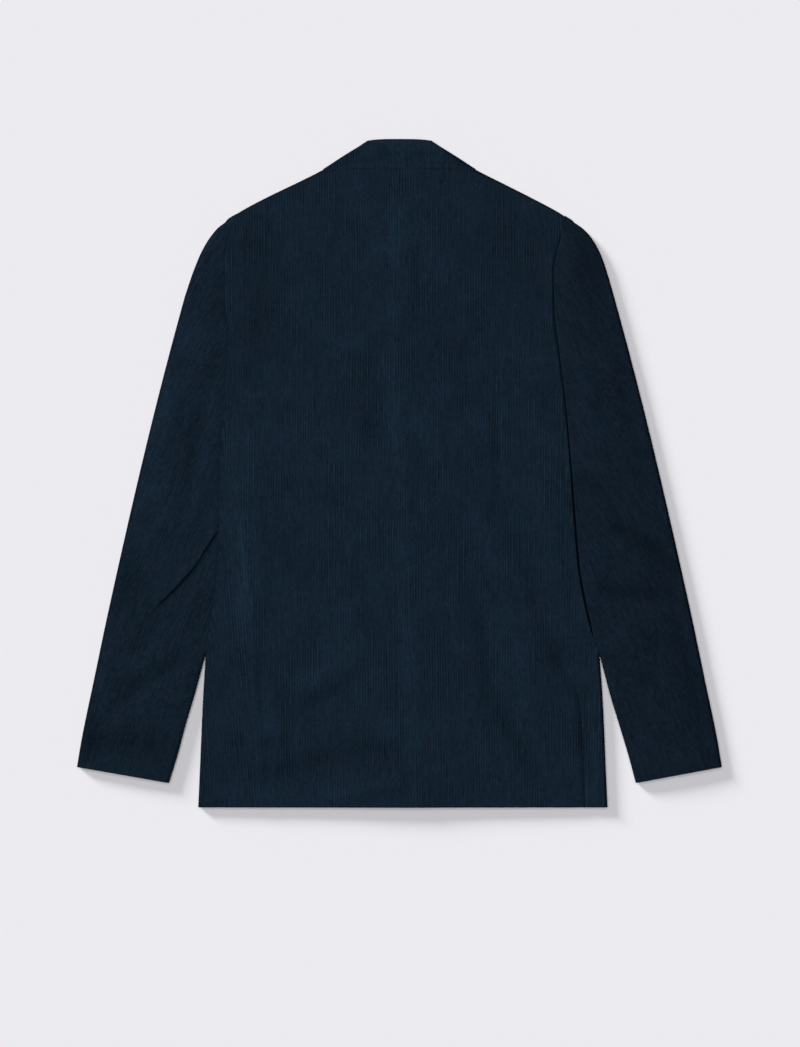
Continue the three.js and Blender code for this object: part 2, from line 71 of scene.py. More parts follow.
# It lies slightly turned, so its two sides differ: y, then the distance from the middle. Square is how
# sharply body and sleeve are folded, slant how far the side body's wales lean, gap how far the sleeve's
# upper cloth stands off the body and groove how deep the armhole seam is pressed. The rises lift the end
# of the shoulder and the sleeve's top off their lines. InnerTilt paints shade on the sleeve's inner fold,
# and paints light on it where it is below 0. The front is folded above foldedY, and its lapel starts at
# lapelLowY.
sides = dict(
    left=dict(
        sign=-1, square=1.0, slant=0.07, shoulderRise=0.8, capRise=1.2, innerTilt=-0.12,
        foldedY=-20, lapelLowY=-20,
        gap=[(291, 0), (-200, 0)], groove=[(291, 0.1), (60, 0.1)],
        bodyEdge=[
            (293, 184), (241, 197.8), (189, 196.6), (154, 193), (111, 195.5), (49, 201), (-32.5, 203.4),
            (-66, 203.4), (-143, 210), (-207.6, 219.2), (-377.7, 227.7)],
        backSeam=[
            (60, 196), (20, 196.6), (-26, 186.5), (-62, 176.3), (-113, 170.6), (-188, 164),
            (-240, 162.7), (-307, 158), (-377.7, 155)],
        frontSeam=[(20, 141), (-377.7, 188)],
        sleeveInner=[(-207.6, 219.9), (-250.6, 231.7), (-284.5, 241.8), (-318.4, 250.9), (-349.5, 260.5)]),
    right=dict(
        sign=1, square=0.85, slant=0.02, shoulderRise=-0.3, capRise=-1.0, innerTilt=0.25,
        foldedY=100, lapelLowY=112,
        groove=[(291, 0.1), (276, 0.15), (262, 1.1), (60, 1.2)],
        gap=[(291, 0), (274, 0.05), (262, 0.5), (200, 0.8), (100, 1.1), (60, 1.5), (0, 2.1), (-60, 2.8),
             (-150, 3.1), (-172, 2.5), (-182, 1.0), (-187, 0)],
        bodyEdge=[
            (293, 187), (271.5, 183), (225, 173.7), (179, 174.7), (138, 179.7), (82, 186.5),
            (10.5, 192.7), (-62, 197.8), (-107, 201.8), (-143, 208), (-183, 218), (-207.6, 226.4),
            (-377.7, 235.5)],
        backSeam=[
            (60, 183.5), (-30, 187.6), (-98, 192), (-188, 196.6), (-230, 200), (-307, 208),
            (-377.7, 210)],
        frontSeam=[(20, 129), (-377.7, 150)],
        sleeveInner=[(-207.6, 227.1), (-250.6, 238.4), (-284.5, 248.6), (-318.4, 258.8), (-349.5, 267.2)]),
)


# Smooth curve through a table's rows of key and value: on each stretch a cubic made of both values
# and both slopes, where a row's slope is the harmonic mean of those before and after it
def readCurve(table, key):
    rows = np.array(sorted(table), float)
    keys, values = rows[:, 0], rows[:, 1]
    rise = np.diff(values) / np.diff(keys)
    slopes = np.concatenate([rise[:1], np.zeros(len(keys) - 2), rise[-1:]])
    product = rise[:-1] * rise[1:]
    steady = product > 0
    slopes[1:-1][steady] = 2 * product[steady] / (rise[:-1] + rise[1:])[steady]
    place = np.clip(key, keys[0], keys[-1])
    i = np.clip(np.searchsorted(keys, place) - 1, 0, len(keys) - 2)
    span = keys[i + 1] - keys[i]
    t = (place - keys[i]) / span
    return (
        (1 + 2 * t) * (1 - t) ** 2 * values[i] + t * (1 - t) ** 2 * span * slopes[i]
        + t * t * (3 - 2 * t) * values[i + 1] - t * t * (1 - t) * span * slopes[i + 1])


# 0 below low, 1 above high, an S curve between them: 3t^2 - 2t^3
def smooth(value, low, high):
    t = np.clip((np.asarray(value, float) - low) / (high - low), 0, 1)
    return t * t * (3 - 2 * t)


# The point at a share of the way from a to b
def mix(a, b, share):
    return a + (b - a) * share


# 1 at 0 and down to nothing on both sides: e to the power of minus the square
def bell(value):
    return np.exp(-value * value)


# How far a cut edge rolls down: a parabola from 1 on the edge line to 0 at reach
def edgeRoll(distance, reach):
    return (1 - np.clip(distance / reach, 0, 1)) ** 2


# Even steps from 0 to 1 with close ones at both ends, so that an edge can be rounded
def edgeSteps(count, *closeOnes):
    close = np.array(closeOnes)
    return np.unique(np.concatenate([np.linspace(0, 1, count + 1), close, 1 - close]))


# Folds of the upper side, each a line along which the cloth is painted dark (below 0, painted shade) or
# bright (painted light): x1, y1, x2, y2, bow, half-width on its left and its right as one looks from the
# second end to the first, strength
folds = dict(
    body=[
        (-28, 150, -36, 0, 0, 14, 16, -0.13),
        (40, 105, 46, 10, 0, 22, 26, 0.08),
        (22, 142, 92, 134, 0, 14, 14, -0.08),
        (-158, 295, -162, 90, -4, 28, 26, -0.17),
        (-166, 190, -154, 120, 0, 8, 8, -0.08),
        (-146, 304, -130, 272, 0, 14, 14, 0.06),
        (-182, 56, -170, -205, -3, 19, 15, 0.16),
        (-174, -70, -169, -165, 0, 15, 14, 0.11),
        (-152, -215, -148, -300, 0, 8, 9, 0.11),
        (-129, -235, -127, -335, 0, 7, 9, -0.09),
        (-124, -272, -50, -226, 2, 8, 10, -0.11),
        (-122, -246, -22, -176, 3, 12, 14, 0.13),
        (-170, -346, 8, -310, -6, 13, 17, -0.19),
        (-90, -366, 6, -346, 0, 9, 9, 0.12),
        (-172, -372, -136, -366, 0, 9, 9, 0.12),
        (74, -120, 100, -262, -6, 9, 11, -0.17),
        (94, -246, 160, -360, -4, 10, 12, -0.17),
        (112, -150, 152, -300, -6, 22, 18, 0.13),
        (104, -30, 158, -150, -5, 11, 13, -0.14),
        (150, -136, 206, -262, 6, 9, 12, -0.17),
        (172, -186, 190, -222, 0, 9, 9, -0.16),
        (206, -232, 215, -356, 2, 8, 9, -0.18),
        (106, 95, 108, -30, 0, 5, 6, -0.11),
        (114, 335, 128, 190, 3, 22, 26, -0.17),
        (150, 300, 156, 130, 0, 16, 18, -0.11),
        (22, 260, 21, 150, 2, 7, 9, -0.07),
        (44, 368, 94, 342, 0, 10, 14, -0.12),
        (-70, 338, -10, 318, 0, 16, 14, -0.05),
        (68, 150, 72, 60, 0, 9, 12, -0.06),
        (-40, -100, -34, -190, 3, 12, 14, -0.07)],
    left=[
        (-254, 110, -276, 14, 2, 13, 13, 0.11),
        (-232, 215, -262, 110, 2, 12, 12, -0.06),
        (-198, 286, -236, 190, 2, 12, 14, -0.10),
        (-204, 245, -206, 105, -2, 9, 10, -0.14),
        (-213, 124, -246, -50, 3, 10, 12, -0.17),
        (-262, -30, -280, -80, 0, 10, 10, 0.08),
        (-290, -84, -316, -160, 0, 21, 19, -0.18),
        (-266, -140, -312, -212, -2, 13, 15, -0.15),
        (-236, -204, -334, -266, 3, 10, 13, -0.19),
        (-336, -196, -344, -246, 0, 9, 9, 0.10),
        (-362, -244, -338, -322, 6, 20, 22, -0.20),
        (-360, -298, -244, -318, 3, 20, 22, -0.22)],
    right=[
        (214, 290, 228, 170, 3, 13, 15, -0.18),
        (208, 140, 214, 20, 0, 12, 13, 0.12),
        (203, 4, 258, -74, -6, 7, 9, -0.20),
        (236, -58, 320, -114, -5, 9, 10, -0.32),
        (216, -40, 280, -116, -3, 9, 10, 0.12),
        (220, -128, 310, -139, 3, 9, 11, -0.20),
        (304, -90, 350, -322, -2, 24, 20, -0.22),
        (242, -224, 296, -232, 3, 12, 14, -0.12),
        (252, -150, 262, -200, 0, 12, 14, 0.07),
        (250, 120, 262, 40, 2, 8, 10, -0.08)],
)
foldDepth = 6.0  # height in millimetres at strength 1
foldShift = (4.5, -3.5)  # from a fold's dark or bright flank to the bottom or the top of it


# Sum of a table's lines: along each one the root of a parabola, across it a bell with two widths
def strokes(table, x, y):
    total = np.zeros(np.broadcast(x, y).shape)
    for x1, y1, x2, y2, bow, before, after, strength in table:
        length = math.hypot(x2 - x1, y2 - y1)
        ax, ay = (x2 - x1) / length, (y2 - y1) / length
        t = ((x - x1) * ax + (y - y1) * ay) / length
        arch = np.clip(4 * t * (1 - t), 0, None)
        across = (x - x1) * ay - (y - y1) * ax - bow * arch
        total += strength * np.sqrt(arch) * bell(across / np.where(across < 0, before, after))
    return total


# Height of a zone's folds: the same lines, moved off the flanks that look dark or bright
def foldRelief(zone, x, y):
    return foldDepth * strokes(folds[zone], x - foldShift[0], y - foldShift[1])


# Painted shade and light on the flanks of a zone's folds, and on the left sleeve painted shade below its
# middle
def foldShade(zone, x, y):
    whole = 0.9 if zone == "left" else 1
    return mix(whole, 1, smooth(y, -140, 20)) + 0.85 * strokes(folds[zone], x, y)


# Painted shade on the edge of a fold, and painted light where tilt is below 0: 1 / (1 + 3 tilt), where
# tilt is 0 on the level cloth and 1 where it stands upright
def edgeShade(tilt):
    return 1 / (1 + 3 * tilt)


# Painted shade and light of the body: that of its folds, and painted light on the ridge of the centre seam
def bodyShade(x, y):
    ridge = bell((x - readCurve(centreSeam, y)) / 10) * (1 - 0.5 * smooth(y, 250, 330))
    return foldShade("body", x, y) + (0.12 + 0.03 * np.sin(y / 37 + 1)) * ridge


# Heights and widths of the back's large forms
bodyForm = dict(
    swell=1.8, swellWidth=62, crown=1.4, crownWidth=215, ridge=0.6, ridgeWidth=9,
    leftSeam=0.7, leftSeamWidth=5, rightSeam=-0.9, rightSeamWidth=3)


# Height of the back over its flat state: its folds, the swell over the overlapped fronts, a broad crown,
# the ridges of the centre seam and the left side seam, and the sunk right side seam
def bodyRelief(x, y):
    form = bodyForm
    middle = x - readCurve(centreSeam, y)
    swell = form["swell"] * bell(x / form["swellWidth"]) * (1 - smooth(y, 100, 332))
    crown = form["crown"] * (1 - np.clip(np.abs(x) / form["crownWidth"], 0, 1) ** 2.5)
    crown = crown * (1 - smooth(y, 240, 345))
    ridge = form["ridge"] * bell(middle / form["ridgeWidth"]) * (1 - smooth(y, 300, 345))
    left, right = sides["left"], sides["right"]
    fromLeftSeam = -x - readCurve(left["backSeam"], np.minimum(y, cloth["sideTopY"]))
    fromRightSeam = x - readCurve(right["backSeam"], np.minimum(y, cloth["sideTopY"]))
    leftSeam = form["leftSeam"] * bell(fromLeftSeam / form["leftSeamWidth"]) * (1 - smooth(y, 10, 50))
    rightSeam = form["rightSeam"] * bell(fromRightSeam / form["rightSeamWidth"]) * smooth(-y, 225, 255)
    edge = np.where(x < 0, readCurve(left["bodyEdge"], y), readCurve(right["bodyEdge"], y))
    fade = smooth(edge - np.abs(x), cloth["radius"], 20) * (1 - smooth(y, 300, 342))
    hem = smooth(y, cloth["hemY"], cloth["hemY"] + 14)
    return (foldRelief("body", x, y) * hem + swell + crown + leftSeam + rightSeam) * fade + ridge


# A closed wall between an outer and an inner grid of points, with its rims. grain is the cloth's own
# pair of coordinates, across and along its wales, and shade the painted light and shade that scales its
# colour.
def clothWall(name, outer, inner, grain, shade, material, around=False):
    rows, columns = outer.shape[:2]
    if around:
        columns -= 1
    points = np.concatenate([outer[:, :columns].reshape(-1, 3), inner[:, :columns].reshape(-1, 3)])
    row, column = np.meshgrid(np.arange(rows - 1), np.arange(columns - (0 if around else 1)), indexing="ij")
    nextColumn = (column + 1) % columns
    a, b = row * columns + column, row * columns + nextColumn
    c, d = b + columns, a + columns
    half = rows * columns
    quads = [np.stack([a, b, c, d], -1).reshape(-1, 4), np.stack([a, d, c, b], -1).reshape(-1, 4) + half]
    for edge, flip in ((0, False), (rows - 1, True)):
        j = np.arange(columns - (0 if around else 1))
        low, high = edge * columns + j, edge * columns + (j + 1) % columns
        rim = np.stack([low, low + half, high + half, high], -1)
        quads.append(rim[:, ::-1] if flip else rim)
    if not around:
        for edge, flip in ((0, True), (columns - 1, False)):
            i = np.arange(rows - 1)
            low, high = i * columns + edge, (i + 1) * columns + edge
            rim = np.stack([low, low + half, high + half, high], -1)
            quads.append(rim[:, ::-1] if flip else rim)
    quads = np.concatenate(quads)
    if signedVolume(points, quads) < 0:
        quads = quads[:, ::-1]
    mesh = bpy.data.meshes.new(name)
    mesh.from_pydata((points * mm).tolist(), [], quads.tolist())
    loopPoint = np.zeros(len(mesh.loops), dtype=np.int32)
    mesh.loops.foreach_get("vertex_index", loopPoint)
    flatGrain = grain[:, :columns].reshape(-1, 2)
    perPoint = np.concatenate([flatGrain, flatGrain]) * mm
    layer = mesh.uv_layers.new(name="grain")
    layer.data.foreach_set("uv", perPoint[loopPoint].ravel())
    flatShade = np.broadcast_to(shade, outer.shape[:2])[:, :columns].ravel()
    # painted light and shade of each point, read by the corduroy material
    paintedShading = mesh.attributes.new("paintedShading", "FLOAT", "POINT")
    paintedShading.data.foreach_set("value", np.concatenate([flatShade, flatShade]).astype(np.float32))
    mesh.polygons.foreach_set("use_smooth", np.ones(len(mesh.polygons), dtype=bool))
    mesh.set_sharp_from_angle(angle=math.radians(50))
    mesh.materials.append(material)
    piece = bpy.data.objects.new(name, mesh)
    bpy.context.collection.objects.link(piece)
    return piece


# Six times the volume inside the quads, each split at one diagonal
def signedVolume(points, quads):
    p0, p1, p2, p3 = (points[quads[:, k]] for k in range(4))
    return np.sum(p0 * np.cross(p1, p2)) + np.sum(p0 * np.cross(p2, p3))


# Half-round fold at an angle of 90 degrees on top, 0 outermost and -90 below, as shares of its radius.
# Where the cloth is pressed square, both shares of the upper quarter are drawn towards 1.
def foldShape(angle, square):
    power = np.where(angle > 0, mix(1, 0.06, square), 1)
    return np.abs(np.cos(angle)) ** power, np.sign(np.sin(angle)) * np.abs(np.sin(angle)) ** power


# How square the fold between body and sleeve is: only where the two touch
def squareAt(side, y):
    return side["square"] * smooth(y, -207, -202)


# Shade in the slit between body and sleeve: 1 at its lip, 0.2 from a third of the way down
def creviceShade(side, y, upShare):
    return 1 - 0.8 * smooth(readCurve(side["gap"], y), 0.2, 1.0) * (1 - smooth(np.abs(upShare), 0.6, 0.98))


# A body panel. Columns run from the middle to the side by u. Rows are level ones up to the shoulder,
# y = hem + v (top - hem), then the quarter circle of its fold.
def panelGrid(panel, face):
    side = panel["side"]
    radius, wall = cloth["radius"], cloth["wall"]
    v = np.concatenate([edgeSteps(panel["rows"], *panel["closeRows"]), np.ones(6)])[:, None]
    flatRows = len(v) - 6
    angle = np.concatenate([np.full(flatRows, 90.0), [75, 60, 45, 30, 15, 0]])[:, None] * math.pi / 180
    u = edgeSteps(panel["columns"], 0.002, 0.006, 0.012)[None, :]
    xTop = mix(panel["topInnerX"], readCurve(side["bodyEdge"], cloth["shoulderY"]), u)
    shoulder = readCurve(shoulderLine, xTop) + side["shoulderRise"] * smooth(xTop, 100, 165)
    topY = np.where(xTop < 82, readCurve(panel["neckline"], xTop), shoulder)
    turning = np.arange(len(v))[:, None] >= flatRows
    level = cloth["hemY"] + v * (topY - radius - cloth["hemY"])
    outerY = np.where(turning, topY - radius * (1 - np.cos(angle)), level)
    turnedIn = topY - wall - (radius - wall) * (1 - np.cos(angle))
    fold = smooth(xTop, 76, 84)
    y = np.where(turning & (face == "inner"), mix(outerY, turnedIn, fold), outerY)
    x = mix(panel["innerX"](outerY), panel["outerX"](outerY), u)
    z = panel["height"](x, outerY, face)
    bend = mix(1.0, np.sin(angle), fold)
    return np.stack([x, y, radius + (z - radius) * bend], -1), fold * np.cos(angle)


# Grain of the body and the collar: straight up, a little wavy where the cloth is pulled
def bodyGrain(x, y):
    return np.stack([x - 0.6 * np.sin(y / 90) - 0.4 * np.sin(x / 37 + y / 61), y], -1)


# A back half: from the centre seam to the side seam, and above the armpit to the armhole
def makeBack(name, side, material):
    def outerX(y):
        seam = readCurve(side["backSeam"], np.minimum(y, cloth["sideTopY"]))
        share = np.clip((y - cloth["sideTopY"]) / (cloth["armpitY"] - cloth["sideTopY"]), 0, 1)
        return side["sign"] * mix(seam, readCurve(side["bodyEdge"], y), share)

    def innerX(y):
        return readCurve(centreSeam, y)

    def height(x, y, face):
        fromSide = np.abs(outerX(y) - x)
        armhole = smooth(y, 55, 75)
        groove = readCurve(side["groove"], y)
        top = cloth["height"] + bodyRelief(x, y)
        top = top - mix(0.12 * edgeRoll(fromSide, 1.2), groove * edgeRoll(fromSide, 2.6), armhole)
        top = top - 0.2 * edgeRoll(np.abs(x - innerX(y)), 1.2) - 0.5 * edgeRoll(y - cloth["hemY"], 2.5)
        top = top - 1.7 * smooth(y - readCurve(collarEdge, np.abs(x)), 0.2, 2.2)  # bedded under the collar
        return top - (cloth["wall"] if face == "inner" else 0)

    panel = dict(
        side=side, topInnerX=1, neckline=backNeckline, innerX=innerX, outerX=outerX, height=height,
        rows=320, closeRows=0.0008 * np.arange(1, 19), columns=84)
    (outer, tilt), (inner, _) = panelGrid(panel, "outer"), panelGrid(panel, "inner")
    x, y = outer[..., 0], outer[..., 1]
    # Painted shade and light of the folds and the seam's ridge, and painted shade on the shoulder's fold
    shade = bodyShade(x, y) * edgeShade(tilt)
    return clothWall(name, outer, inner, bodyGrain(x, y), shade, material)


# Underside of a front: one step up where a lapel, the collar or the buttons lie under it
def frontLift(side, x, y):
    reach = readCurve(
        [(-377.7, 30), (-60, 30), (-20, 38), (100, 92), (200, 116), (256, 134), (292, 120), (342, 118)], y)
    own = cloth["step"] * (1 - smooth(np.abs(x) - reach, 0, 36))
    if side["sign"] < 0:
        return own
    overLeft = 2 * cloth["step"] * (1 - smooth(x, 26, 62)) * (1 - smooth(y, 100, 120))
    return np.maximum(own, overLeft)


# Folds of the fronts, where the cloth comes off the floor: as above, with the height as the last number
liftedFolds = [
    (70, 60, 120, -90, 5, 9, 14, 1.3), (150, -120, 96, -260, -6, 10, 15, 1.6),
    (60, -200, 64, -330, 0, 8, 12, 1.1), (118, 200, 140, 60, 3, 12, 16, 1.2),
    (172, -250, 168, -350, 0, 7, 10, 0.9)]


# A front: from its roll line or overlapped edge to the side seam and the armhole
def makeFront(name, side, material):
    def innerX(y):
        room = np.where(y > side["foldedY"], cloth["turnRoom"], 0)
        return side["sign"] * (readCurve(rollLine, y) + room)

    def outerX(y):
        seam = readCurve(side["frontSeam"], y)
        share = np.clip((y - cloth["frontTopY"]) / (cloth["armpitY"] - cloth["frontTopY"]), 0, 1)
        edge = readCurve(side["bodyEdge"], np.maximum(y, cloth["armpitY"]))
        return side["sign"] * mix(seam, edge, share)

    def height(x, y, face):
        low = frontLift(side, x, y) + 0.3 * edgeRoll(np.abs(outerX(y) - x), 1.6)
        low = low + strokes(liftedFolds, np.abs(x), y) * smooth(y, cloth["hemY"], cloth["hemY"] + 14)
        return low + (cloth["wall"] if face == "inner" else 0)

    panel = dict(
        side=side, topInnerX=41, neckline=frontNeckline, innerX=innerX, outerX=outerX, height=height,
        rows=190, closeRows=(0.0006, 0.0016), columns=52)
    (outer, tilt), (inner, _) = panelGrid(panel, "outer"), panelGrid(panel, "inner")
    # painted shade on the edge of the shoulder's fold
    return clothWall(name, outer, inner, bodyGrain(outer[..., 0], outer[..., 1]), edgeShade(tilt), material)


# A side body: an upper strip (s below 0), a half-round fold (0 to 1) and a lower strip (above 1)
def sideGrid(side, face):
    radius, armpit = cloth["radius"], cloth["armpitY"]
    inset = cloth["wall"] if face == "inner" else 0.0
    s = np.concatenate([
        -edgeSteps(26, 0.01, 0.03)[::-1], np.linspace(0, 1, 19)[1:-1],
        1 + edgeSteps(12, 0.01, 0.03)])[None, :]
    rowY = mix(cloth["hemY"], armpit, edgeSteps(200, 0.0012, 0.003))[:, None]
    under = s > 0.5
    seamTop = np.where(under, cloth["frontTopY"], cloth["sideTopY"])
    lastPlain = np.where(under, cloth["sideEaseY"], cloth["frontTopY"])
    frontSeamTop = readCurve(side["frontSeam"], cloth["frontTopY"])
    seamAtTop = np.where(under, frontSeamTop, readCurve(side["backSeam"], cloth["sideTopY"]))
    topWidth = readCurve(side["bodyEdge"], armpit) - seamAtTop
    turn = math.pi * (0.5 - np.clip(s, 0, 1))
    leaf = np.maximum(np.maximum(-s, s - 1), 0)
    foldShare = radius * (1 - np.cos(turn)) / topWidth
    topY = mix(armpit, seamTop, mix(foldShare, 1, leaf)) - 0.2
    closing = np.clip((rowY - lastPlain) / (armpit - lastPlain), 0, None)
    y = np.where(rowY > lastPlain, mix(lastPlain, topY, closing), rowY + 0 * s)
    flatX = readCurve(side["bodyEdge"], rowY) - radius
    backSeamX = readCurve(side["backSeam"], np.minimum(y, cloth["sideTopY"]))
    seamX = np.where(under, readCurve(side["frontSeam"], y), backSeamX)
    square = squareAt(side, y)
    outShare, upShare = foldShape(turn, square)
    x = np.where(leaf > 0, mix(flatX, seamX, leaf), flatX + (radius - inset) * outShare)
    z = radius + (radius - inset) * upShare
    top = bodyRelief(side["sign"] * x, y) - 0.12 * edgeRoll(x - seamX, 1.2)
    top = top - 0.5 * edgeRoll(y - cloth["hemY"], 2.5)
    z = z + np.where(s < 0, top, 0)
    foldLength = radius * math.pi
    leafAcross = np.where(under, 2 * flatX - x + foldLength, x)
    across = np.where(leaf > 0, leafAcross, flatX + foldLength * np.clip(s, 0, 1))
    grain = np.stack([side["sign"] * (across - side["slant"] * y), y + 0 * s], -1)
    # Painted shade and light: the folds, the slit by the sleeve, and the fold's edge below the split
    tilt = np.where((s > 0) & (s < 1) & (y < cloth["splitY"]), 0.5 * np.cos(turn), 0)
    shade = bodyShade(side["sign"] * x, y) * creviceShade(side, y, upShare) * edgeShade(tilt)
    return np.stack([side["sign"] * x, y, z], -1), grain, shade


# The wall of a side body, from the back seam round the fold to the front seam
def makeSide(name, side, material):
    outer, grain, shade = sideGrid(side, "outer")
    inner, _, _ = sideGrid(side, "inner")
    return clothWall(name, outer, inner, grain, shade, material)


# A sleeve is a tube of flat rings: the upper cloth from the inner fold to the outer one, and the under
# cloth back. Its rows bend to follow the sharp tuck that the left sleeve has at the elbow.
sleeve = dict(
    capY=292.0, capOuterY=284.3, capBulge=0.6, cuffInnerY=-350.2, cuffOuterY=-332.1,
    outer=[
        (284, 197.0), (278, 205.5), (270.4, 212.8), (256.8, 221.9), (242, 228.9), (207, 240.7),
        (173, 250.2), (105, 268.2), (37.6, 285), (-30, 301), (-98, 316.5), (-166, 331.5), (-234, 345.7),
        (-301, 359.6), (-331.4, 364.7)],
    sway=[  # both upper arms lie a little to the right
        (200, 0), (225, 0.6), (241, 1.1), (256, 1.3), (270, 1.2), (279, 0.5), (288, 0)],
    crown=1.6, crownPower=2.4,  # rise of the middle of a sleeve, and how flat its top is
    tuckY=-62.0,  # where the tuck starts, at the inner edge
    tuckDrop=[  # by share of the width
        (0, 0), (0.033, 5.9), (0.116, 20.9), (0.24, 47.1), (0.357, 66.2), (0.472, 83.3), (0.562, 95.8),
        (0.763, 132), (1, 160)],
    tuckSlope=0.59,
)


def sleeveGrid(key, face):
    side = sides[key]
    radius = cloth["radius"]
    inset = cloth["wall"] if face == "inner" else 0.0
    turn = np.radians([0, 12, 25, 38, 52, 65, 78])
    foldCount, flatCount = len(turn), 46
    kinds = np.concatenate([np.zeros(foldCount), np.ones(flatCount + 1), np.full(foldCount, 2)])
    angles = np.concatenate([turn, np.full(flatCount + 1, math.pi / 2), turn[::-1]])
    steps = np.concatenate([np.zeros(foldCount), np.linspace(0, 1, flatCount + 1), np.ones(foldCount)])
    kinds, angles, steps = (np.concatenate([a, a[-2::-1]])[None, :] for a in (kinds, angles, steps))
    count = foldCount * 2 + flatCount + 1
    upper = (np.arange(count * 2 - 1) < count)[None, :]
    closeRows = sleeve["tuckY"] + np.array([0, 0.2, 0.5, 0.9, 1.4, 2.2, 3.2, 4.6]) / sleeve["tuckSlope"]
    rowY = np.concatenate([
        mix(sleeve["cuffInnerY"], sleeve["capY"], edgeSteps(280, 0.0008, 0.002)), closeRows,
        2 * sleeve["tuckY"] - closeRows])
    rowY = np.unique(np.round(rowY, 3))[::-1, None]
    share = (sleeve["capY"] - rowY) / (sleeve["capY"] - sleeve["cuffInnerY"])
    outerY = mix(sleeve["capOuterY"], sleeve["cuffOuterY"], share)
    middleY = mix(rowY, outerY, 0.5)
    middleInner = np.where(
        middleY > cloth["splitY"], readCurve(side["bodyEdge"], middleY),
        readCurve(side["sleeveInner"], middleY))
    foldShare = radius / (readCurve(sleeve["outer"], middleY) - middleInner)
    folded = foldShare * (1 - np.cos(angles))
    rough = np.where(kinds == 2, 1 - folded, mix(foldShare, 1 - foldShare, steps))
    rough = np.where(kinds == 0, folded, rough)
    bent = np.clip(np.where(
        rowY > sleeve["tuckY"], (200 - rowY) / (200 - sleeve["tuckY"]),
        (rowY - sleeve["cuffInnerY"]) / (sleeve["tuckY"] - sleeve["cuffInnerY"])), 0, 1)
    isLeft = side["sign"] < 0
    y = mix(rowY, outerY, rough) - (bent * readCurve(sleeve["tuckDrop"], rough) if isLeft else 0)
    y = y + sleeve["capBulge"] * 4 * rough * (1 - rough) * smooth(rowY, 280, 291)
    y = y + side["capRise"] * (1 - rough) * smooth(rowY, 262, 291)
    inner = np.where(
        y > cloth["splitY"], readCurve(side["bodyEdge"], y) - 0.05, readCurve(side["sleeveInner"], y))
    width = readCurve(sleeve["outer"], y) + side["sign"] * readCurve(sleeve["sway"], y) - inner
    touching = kinds == 0
    outShare, upShare = foldShape(angles, np.where(touching, squareAt(side, y), 0))
    armpitFold = smooth(-y, -82, -48)
    fromEdge = np.where(
        touching, mix(radius * (1 - np.cos(angles)), inset + (radius - inset) * (1 - outShare), armpitFold),
        inset + (radius - inset) * (1 - np.cos(angles)))
    along = np.where(kinds == 2, width - fromEdge, mix(radius, width - radius, steps))
    along = np.where(touching, fromEdge, along)
    lift = (radius - inset) * np.where(touching, mix(1.0, upShare, armpitFold), np.sin(angles))
    level = np.where(upper, 1, -1) * np.where(touching, lift, radius)
    # The upper cloth stands off the body by the gap, the under cloth is pushed half a millimetre against it
    stand = readCurve(side["gap"], y) * smooth(level, -0.5, 1.5)
    pushed = 0.5 * smooth(y, -200, -170) * (1 - smooth(level, -0.5, 1.5))
    along = along + (stand - pushed) * (1 - smooth(along, 3, 22))
    t = along / width
    x = side["sign"] * (inner + along)
    edgeDistance = np.minimum(along, width - along)
    fade = smooth(edgeDistance, radius * 0.6, radius + 14) * smooth(y, -349.5, -310)
    form = sleeve["crown"] * (1 - np.clip(np.abs(2 * t - 1), 0, 1) ** sleeve["crownPower"])
    form = form * smooth(-y, -291, -250)
    form = form + foldRelief(key, x, y) * fade
    # Painted shade and light of the folds, and painted shade in the slit by the body
    shade = foldShade(key, x, y) * np.where(touching, creviceShade(side, y, upShare), 1)
    if isLeft:
        tuck, dark = tuckForm(rowY, t)
        form = form + tuck * smooth(edgeDistance, 0.5, 6)
        # The tuck's painted shade, and painted light along the armhole, so that the seam's shade hardly
        # shows
        shade = shade * dark * (1 + 0.26 * bell(along / 6) * smooth(y, 190, 235))
    form = form - readCurve(side["groove"], y) * edgeRoll(along, 2.6) * smooth(y, 55, 75)
    under = strokes(liftedFolds, np.abs(x) - 130, y) * fade  # the same kind of folds under the sleeve
    z = radius + np.where(
        upper, lift + form * smooth(lift, 0, radius * 0.8), under * smooth(lift, 0, radius) - lift)
    # Painted shade on the outer fold's edge, and on the inner fold painted light on the left and painted
    # shade on the right
    standing = np.where(kinds == 2, 1.0, np.where(touching & (y < cloth["splitY"]), side["innerTilt"], 0.0))
    tilt = standing * np.cos(angles)
    shade = shade * edgeShade(tilt)
    return np.stack([x, y, z], -1), x, y, np.where(upper, shade, 1.0)


# The tuck by the distance from its row, q: the cloth above it stands proud, the cloth below it lies
# low, each a bell of q, and between them is a narrow slit. Its dark is painted shade in the slit and a
# faint painted shadow below it.
def tuckForm(rowY, t):
    q = (rowY - sleeve["tuckY"]) * sleeve["tuckSlope"]
    length = smooth(t, -0.02, 0.05) * (1 - smooth(t, 0.42, 0.62))
    slit = smooth(t, 0.0, 0.06) * (1 - smooth(t, 0.47, 0.55))
    over = smooth(q, -0.3, 0.3)
    form = length * (0.75 * bell(q / 10) * over - 0.5 * bell(q / 13) * (1 - over))
    form = form - 1.8 * slit * bell((q + 0.3) / 0.6)
    # painted shade in the slit and painted shadow on the low cloth below the tuck
    dark = 1 - 0.93 * slit * bell((q + 0.2) / 0.6) - 0.08 * length * (1 - over) * bell(q / 9)
    return form, dark


# Grain of a sleeve: its wales lean more than its edge does, most at the top, lean = integral of
# 0.287 + 0.223 (y + 340) / 540
def sleeveGrain(side, x, y):
    lean = 0.287 * y + 0.223 * (y + 340) ** 2 / (2 * 540)
    return np.stack([0.93 * (x + side["sign"] * lean), y], -1)


# The wall of a sleeve, closed all round
def makeSleeve(name, key, material):
    outer, x, y, shade = sleeveGrid(key, "outer")
    inner, _, _, _ = sleeveGrid(key, "inner")
    return clothWall(name, outer, inner, sleeveGrain(sides[key], x, y), shade, material, around=True)


